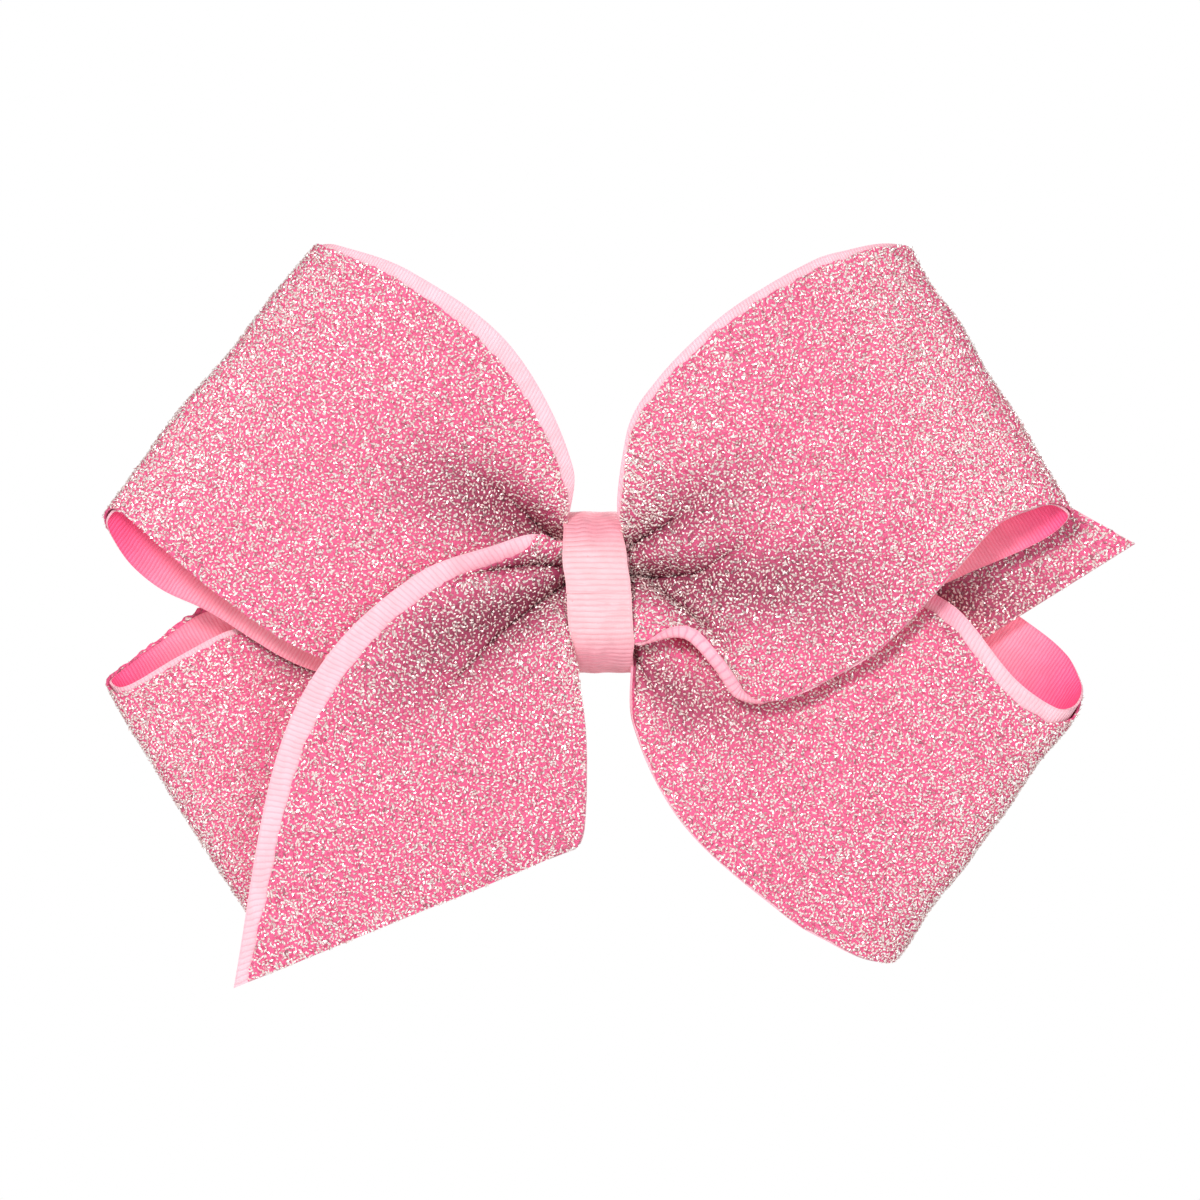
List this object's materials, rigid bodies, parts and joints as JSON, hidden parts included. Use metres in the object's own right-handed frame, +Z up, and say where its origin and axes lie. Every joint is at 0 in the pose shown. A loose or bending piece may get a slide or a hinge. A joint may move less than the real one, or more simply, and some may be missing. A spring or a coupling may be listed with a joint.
{
  "type": "hair bow",
  "caption": "Large glitter ribbon hair bow with looped sides and angled tails round a narrow wrap, gathered and glued to a lined, sprung hair clip.",
  "frame": {"origin": "middle of the clip's jaw gap, behind the middle of the bow", "axes": "+X along the clip and the bow's long side, to the viewer's right; +Z up as worn; +Y from the bow's back towards the head"},
  "size_m": [0.1739, 0.0353, 0.1254],
  "materials": {
    "grosgrain": "ribbed matte",
    "glitter": "tinsel glitter",
    "wrap_grosgrain": "ribbed matte",
    "thread": "spun",
    "glue": "satin",
    "lining": "ribbed matte",
    "clip_steel": "nickel plated",
    "spring_steel": "drawn wire"
  },
  "bodies": {
    "bow": {"upper_left_loop_base": "grosgrain", "upper_right_loop_base": "grosgrain", "lower_left_loop_base": "grosgrain", "lower_right_loop_base": "grosgrain", "front_tail_base": "grosgrain", "rear_tail_base": "grosgrain", "pleats_front_tail_to_upper_right": "grosgrain", "pleats_upper_left_to_lower_right": "grosgrain", "pleats_upper_left_to_upper_right": "grosgrain", "pleats_lower_left_to_rear_tail": "grosgrain", "pleats_lower_left_to_lower_right": "grosgrain", "upper_left_loop_glitter": "glitter", "upper_right_loop_glitter": "glitter", "lower_left_loop_glitter": "glitter", "lower_right_loop_glitter": "glitter", "front_tail_glitter": "glitter", "rear_tail_glitter": "glitter", "centre_wrap": "wrap_grosgrain", "gathering_thread": "thread", "glue_pad": "glue", "clip_upper_arm": "clip_steel", "clip_pin": "clip_steel", "clip_spring": "spring_steel", "clip_lining": "lining"},
    "lower_jaw": {"clip_lower_arm": "clip_steel"}
  },
  "joints": [
    {"name": "clip_hinge", "type": "hinge", "parent": "bow", "child": "lower_jaw", "pos_m": [0.012, 0, 0], "axis": [0, 0, -1], "range_deg": [0, 35], "stiffness_Nm_per_rad": 0.12, "springref_deg": -40.11, "deforming": ["clip_spring"]}
  ]
}
